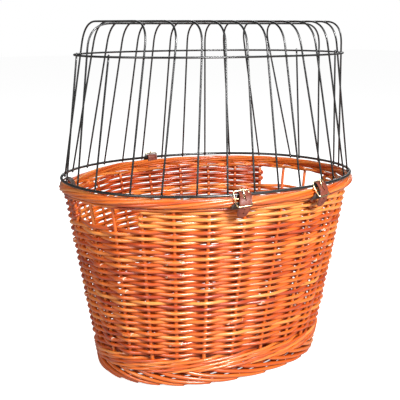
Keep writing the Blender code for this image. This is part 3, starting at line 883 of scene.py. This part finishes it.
BUCKLE_WIRE, PRONG_WIRE, PRONG_EYE = 0.0010, 0.0008, 0.0018
BUCKLE_ASIDE, BUCKLE_TILT = 0.0018, radians(4.0)  # how crooked the front buckles hang
FRAME_HALF_WIDTH, FRAME_CORNER = 0.0103, 0.0025
TOP_BAR, BOTTOM_BAR = (0.0015, 0.0059), (0.0131, -0.0125)
PRONG_ROUTE = ((0.00575, -0.00135), (0.0056, 0.0019), (0.0027, 0.0077), (0.0018, 0.0092))


def arc(centre, radius, start, end, step=6.0):
    angles = np.radians(np.linspace(start, end, max(2, ceil(abs(end - start) / step) + 1)))
    return np.stack([centre[0] + radius * np.cos(angles), centre[1] + radius * np.sin(angles)], -1)


def tongue_route():
    """From the split, over the ring and down the outside to the tip."""
    over = arc((0, 0), RING_WRAP, 180.0, 42.0)
    return np.vstack([[(-RING_WRAP, -SPLIT_DROP)], over, smooth_through(OUTER_RUN)])


def anchor_route():
    """From the split, down through the border, round its underside and up the outside towards the buckle."""
    out, up = BORDER_FROM_RING
    bend_out = ANCHOR_BEND - RING_WRAP
    bend_depth = sqrt((BORDER_WRAP - ANCHOR_BEND) ** 2 - (bend_out - out) ** 2)
    turn = 360 + degrees(atan2(-bend_depth, bend_out - out))
    return np.vstack([[(-RING_WRAP, -SPLIT_DROP - 2 * GAP)],
                      arc((bend_out, up - bend_depth), ANCHOR_BEND, 180.0, turn),
                      arc((out, up), BORDER_WRAP, turn, ANCHOR_END_ANGLE)[1:]])


def evenly(route, spacing):
    """The route resampled at even steps, and how far along it they are."""
    run = run_along(route)
    at = np.linspace(0, run[-1], ceil(run[-1] / spacing) + 1)
    return np.stack([np.interp(at, run, route[:, k]) for k in range(route.shape[1])], -1), at


def strap_section(half_width):
    """Points (across, through) round a strap's section: rounded edges and a pressed line along each side."""
    thick = STRAP_THICKNESS / 2
    flat = half_width - EDGE_RADIUS
    crease = max(flat - CREASE_INSET, flat * 0.6)
    across = np.array([-flat, -crease - CREASE_HALF, -crease, -crease + CREASE_HALF, -flat * 0.3, flat * 0.3,
                       crease - CREASE_HALF, crease, crease + CREASE_HALF, flat])
    lift = np.array([0, 0, -CREASE_DEPTH, 0, CROWN, CROWN, 0, -CREASE_DEPTH, 0, 0])
    top = np.stack([across, thick + lift], -1)
    turn = np.radians([60, 0, -60])
    depth = (thick - EDGE_RADIUS) * np.sin(turn) / sin(turn[0])
    right = np.stack([flat + EDGE_RADIUS * np.cos(turn), depth], -1)
    low = np.stack([np.linspace(flat, -flat, len(across)), np.full(len(across), -thick)], -1)
    return np.vstack([top, right, low, -right])


def strap_mesh(name, route, tip_end, stray):
    """A swept strap in the (out, up, along) frame, with the route and normals it was swept along."""
    route, run = evenly(route, STRAP_STEP)
    along = np.gradient(route, axis=0)
    along /= np.linalg.norm(along, axis=1, keepdims=True)
    through = np.stack([-along[:, 1], along[:, 0]], -1)
    length = run[-1]
    points = []
    for i, here in enumerate(route):
        left = length - run[i]
        half = STRAP_WIDTH / 2
        if tip_end and left < TIP_LENGTH:
            share = 1 - left / TIP_LENGTH
            half = TIP_WIDTH / 2 + (half - TIP_WIDTH / 2) * (1 - share ** 2.3) ** 0.62
        section = strap_section(half)
        across = section[:, 0] + np.interp(run[i] / length, *stray)
        x, y = (here[k] + through[i, k] * section[:, 1] for k in (0, 1))
        points.append(np.stack([x, y, across], -1))
    points = np.array(points)
    n, m = points.shape[:2]
    index = np.arange(n * m).reshape(n, m)
    here, ahead = index[:-1], index[1:]
    quads = np.stack([here, np.roll(here, -1, 1), np.roll(ahead, -1, 1), ahead], -1).reshape(-1, 4)
    ends = [index[0][::-1].tolist(), index[-1].tolist()]
    data = bpy.data.meshes.new(name)
    data.from_pydata(points.reshape(-1, 3).tolist(), [], quads.tolist() + ends)
    mesh = bmesh.new()
    mesh.from_mesh(data)
    bmesh.ops.recalc_face_normals(mesh, faces=mesh.faces)
    mesh.to_mesh(data)
    mesh.free()
    return new_object(name, data), route, through


def punch_holes(item, route, through, stray):
    """Cuts the round holes for the prong, in the strap's own frame."""
    run = run_along(route)
    cutter_mesh = bmesh.new()
    for distance in HOLES_FROM_TIP:
        i = int(np.argmin(np.abs(run[-1] - run - distance)))
        centre = Vector((*route[i], np.interp(run[i] / run[-1], *stray)))
        facing = Vector((*through[i], 0.0)).to_track_quat("Z", "Y").to_matrix().to_4x4()
        bmesh.ops.create_cone(cutter_mesh, cap_ends=True, segments=16, depth=CUTTER_DEPTH,
                              radius1=HOLE_RADIUS, radius2=HOLE_RADIUS,
                              matrix=Matrix.Translation(centre) @ facing)
    cut_with(item, cutter_mesh)


def cut_prong_slot(item):
    """Cuts the slot that the prong turns in."""
    low, high = (Vector(end) for end in PRONG_SLOT_ENDS)
    angle = atan2(high.y - low.y, high.x - low.x)
    middle_there = Matrix.Translation(((low.x + high.x) / 2, (low.y + high.y) / 2, 0))
    size = Matrix.Diagonal(((high - low).length, SLOT_DEPTH, PRONG_SLOT_WIDTH, 1))
    slot = bmesh.new()
    bmesh.ops.create_cube(slot, size=1.0, matrix=middle_there @ Matrix.Rotation(angle, 4, "Z") @ size)
    cut_with(item, slot)


def cut_with(item, cutter_mesh):
    data = bpy.data.meshes.new("cutter")
    cutter_mesh.to_mesh(data)
    cutter_mesh.free()
    cutter = new_object("cutter", data)
    modifier = item.modifiers.new("cut", "BOOLEAN")
    modifier.operation = "DIFFERENCE"
    modifier.solver = "EXACT"
    modifier.object = cutter
    bpy.context.view_layer.update()
    evaluated = item.evaluated_get(bpy.context.evaluated_depsgraph_get())
    item.data = bpy.data.meshes.new_from_object(evaluated)
    item.modifiers.clear()
    bpy.data.objects.remove(cutter)


def finish_strap(item, route, through, matrix, body, nodes):
    """Gives a strap its lay attribute, leather and place."""
    points = np.array([v.co for v in item.data.vertices])
    gaps = points[:, None, :2] - route[None, :, :]
    nearest = np.argmin(np.sum(gaps ** 2, axis=2), axis=1)
    depth = np.sum(gaps[np.arange(len(points)), nearest] * through[nearest], axis=1)
    side = 0.5 + depth / STRAP_THICKNESS
    lay = np.stack([run_along(route)[nearest], points[:, 2], side], -1)
    set_attribute(item.data, "lay", lay)
    item.data.materials.clear()
    item.data.materials.append(LEATHER)
    item.data.shade_smooth()
    item.data.set_sharp_from_angle(angle=radians(40))
    item.data.transform(matrix)
    place(item, body, nodes)


def add_strap(name, matrix):
    """A buckled strap: the front ones are split at the ring, and the back one is whole."""
    opens = name != "back"
    body = f"{name}_strap" if opens else "root"
    tongue, anchor = tongue_route(), anchor_route()
    if opens:
        label, node, stray = f"{name}_tongue", f"{name}_strap_tongue", TONGUE_STRAY
    else:
        label, node, stray = "back_strap_looks", "back_strap", STRAIGHT
        tongue = np.vstack([anchor[:0:-1], tongue[1:]])
    item, route, through = strap_mesh(label, tongue, True, stray)
    punch_holes(item, route, through, stray)
    cut_prong_slot(item)
    finish_strap(item, route, through, matrix, body, (node,))
    if opens:
        item, route, through = strap_mesh(f"{name}_anchor", anchor, False, ANCHOR_STRAY)
        finish_strap(item, route, through, matrix, "root", (f"{name}_strap_anchor",))
    add_buckle(name, matrix, body)


def add_left_strap():
    """The left end's strap: up the outside, over the border and down inside the wall."""
    out = outward(LOWER_RING, LEFT_STRAP_ANGLE)
    matrix = Matrix((out, (0, 0, 1), np.cross(out, (0, 0, 1)))).transposed().to_4x4()
    matrix.translation = oval_point(LOWER_RING, LEFT_STRAP_ANGLE, LOWER_RING_Z)
    centre = np.array(BORDER_FROM_RING) - (0, rim_sag(LEFT_STRAP_ANGLE))
    route = np.vstack([arc(centre, BORDER_WRAP, *LEFT_STRAP_ARC), centre + np.array(LEFT_STRAP_TAIL)])
    item, route, through = strap_mesh("left_end_band", route, False, LEFT_STRAY)
    finish_strap(item, route, through, matrix, "root", ("left_end_strap",))


def in_frame(matrix, points):
    """Points (out, up) or (out, up, along) of a strap's frame, in the part's."""
    return np.array([matrix @ Vector((*p, 0.0)[:3]) for p in points])


def buckle_outline():
    """The bowed buckle frame: two level bars, two bowed rails and round corners."""
    top, centre, bottom = (np.array(p) for p in (TOP_BAR, CENTRE_BAR, BOTTOM_BAR))

    def rail(t):
        return (1 - t) * (1 - 2 * t) * top + 4 * t * (1 - t) * centre + t * (2 * t - 1) * bottom

    turn = FRAME_CORNER / hypot(*(bottom - top))
    stations = np.concatenate([np.linspace(0, 2 * turn, 9), np.linspace(2 * turn, 1 - 2 * turn, 12)[1:-1],
                               np.linspace(1 - 2 * turn, 1, 9)])
    side = []
    for t in stations:
        near = min(t, 1 - t) / turn
        bend = 1 - np.sqrt(max(0.0, 1 - max(0.0, 1 - near) ** 2))
        side.append((*rail(t), FRAME_HALF_WIDTH - FRAME_CORNER * bend))
    side = np.array(side)
    other = side[::-1] * (1, 1, -1)
    bars = [np.linspace(side[-1], other[0], 8)[1:-1], np.linspace(other[-1], side[0], 8)[1:-1]]
    return np.vstack([side, bars[0], other, bars[1]])


def add_buckle(name, matrix, body):
    """A wire frame with a centre bar, and a prong whose eye turns on the bar."""
    rods = Rods()
    out = in_frame(matrix, [(1, 0)])[0] - in_frame(matrix, [(0, 0)])[0]
    askew = matrix.copy()
    if name != "back":
        askew @= Matrix.Translation((*CENTRE_BAR, BUCKLE_ASIDE)) @ Matrix.Rotation(BUCKLE_TILT, 4, "X")
        askew @= Matrix.Translation((-CENTRE_BAR[0], -CENTRE_BAR[1], 0))
    rods.add(in_frame(askew, buckle_outline()), BUCKLE_WIRE, out, closed=True, sides=12)
    bar = in_frame(askew, [(*CENTRE_BAR, z) for z in np.linspace(-FRAME_HALF_WIDTH, FRAME_HALF_WIDTH, 12)])
    rods.add(bar, BUCKLE_WIRE * 0.95, out, sides=12)
    place(rods.build(f"{name}_buckle", [BRASS]), body,
          (f"{name}_buckle_frame", f"{name}_buckle_bar"))

    rods = Rods()
    eye = [(CENTRE_BAR[0] + PRONG_EYE * cos(turn), CENTRE_BAR[1] + PRONG_EYE * sin(turn))
           for turn in np.radians(range(0, 360, 20))]
    rods.add(in_frame(matrix, eye), PRONG_WIRE * 0.9, matrix.col[2].xyz, closed=True, sides=10)
    shaft = smooth_through([(CENTRE_BAR[0] + 0.0008, CENTRE_BAR[1] + 0.0016), *PRONG_ROUTE])
    size = PRONG_WIRE * np.interp(np.linspace(0, 1, len(shaft)), (0, 0.75, 1), (1, 1, 0.65))
    rods.add(in_frame(matrix, shaft), size, matrix.col[2].xyz, sides=10)
    place(rods.build(f"{name}_prong_looks", [BRASS]), f"{name}_prong",
          (f"{name}_buckle_prong",))


# ---- the object ----

add_stakes()
add_side()
add_wale("bottom_wale", **BOTTOM_WALE)
add_wale("top_wale", **TOP_WALE)
add_rim()
add_foot()
add_base()
add_dome()
for strap_name, strap_matrix in STRAPS.items():
    add_strap(strap_name, strap_matrix)
add_left_strap()

# ---- the studio ----

CAMERA_PLACE = (-0.7404, -1.0553, 0.4823)
CAMERA_TILT, CAMERA_HEADING, CAMERA_LENS = 78.94, -34.5, 80.85
TARGET = Vector((0, 0, 0.22))
AMBIENT = 0.12
FLOOR_BOUNCE = (0.34, 0.31, 0.29)
FLOOR_GLOW, FLOOR_WHITE = 0.08, 0.86  # what the floor gives the basket and what the camera sees
FLOOR_HALF_SIZE, FLOOR_GAP = 12, 0.0005
PAINT_TONES = (0.3, (0.93, 0.93, 0.93)), (0.7, (0.96, 0.96, 0.96))


def add_camera():
    data = bpy.data.cameras.new("camera")
    data.lens, data.sensor_width = CAMERA_LENS, 36
    data.clip_start, data.clip_end = 0.05, 100
    camera = new_object("camera", data)
    camera.location = CAMERA_PLACE
    camera.rotation_euler = (radians(CAMERA_TILT), 0, radians(CAMERA_HEADING))
    bpy.context.scene.camera = camera


def add_light(name, back, right, up, size, power):
    """A square soft light, placed from the target back towards the camera, to the camera's right, and up."""
    heading = radians(CAMERA_HEADING)
    towards = Vector((sin(heading), -cos(heading), 0))
    aside = Vector((cos(heading), sin(heading), 0))
    data = bpy.data.lights.new(name, "AREA")
    data.shape, data.size, data.energy = "SQUARE", size, power
    light = new_object(name, data)
    light.location = TARGET + towards * back + aside * right + Vector((0, 0, up))
    light.rotation_euler = (TARGET - light.location).to_track_quat("-Z", "Y").to_euler()


def add_floor():
    mesh = bmesh.new()
    bmesh.ops.create_grid(mesh, x_segments=2, y_segments=2, size=FLOOR_HALF_SIZE)
    data = bpy.data.meshes.new("floor")
    mesh.to_mesh(data)
    mesh.free()
    floor = new_object("floor", data)
    floor.location.z = -FLOOR_GAP
    n = Nodes("floor_paint")
    grit = n.noise(n.object_place(), scale=40, detail=2)
    seen = n.add("ShaderNodeLightPath").outputs["Is Camera Ray"]
    n.link(n.span(seen, 0.0, 1.0, FLOOR_GLOW, FLOOR_WHITE), n.shader.inputs["Emission Strength"])
    paint = n.mix(seen, FLOOR_BOUNCE, n.ramp(grit, PAINT_TONES))
    data.materials.append(n.finish(paint, 0.9, Emission_Color=(1, 1, 1, 1)))


def add_world():
    """White behind the object and softer white light around it."""
    world = bpy.data.worlds.new("studio")
    world.use_nodes = True
    tree = world.node_tree
    background = tree.nodes["Background"]
    background.inputs["Color"].default_value = (1, 1, 1, 1)
    seen = tree.nodes.new("ShaderNodeLightPath").outputs["Is Camera Ray"]
    strength = tree.nodes.new("ShaderNodeMapRange")
    tree.links.new(seen, strength.inputs["Value"])
    strength.inputs["To Min"].default_value = AMBIENT
    strength.inputs["To Max"].default_value = 1.0
    tree.links.new(strength.outputs["Result"], background.inputs["Strength"])
    bpy.context.scene.world = world


add_camera()
add_light("key", back=1.4, right=1.0, up=0.95, size=0.5, power=61)
add_light("fill", back=1.4, right=-1.0, up=0.9, size=0.8, power=15)
add_light("rear", back=-1.6, right=0.3, up=1.1, size=1.2, power=13)
add_floor()
add_world()
bpy.context.scene.view_settings.view_transform = "Standard"
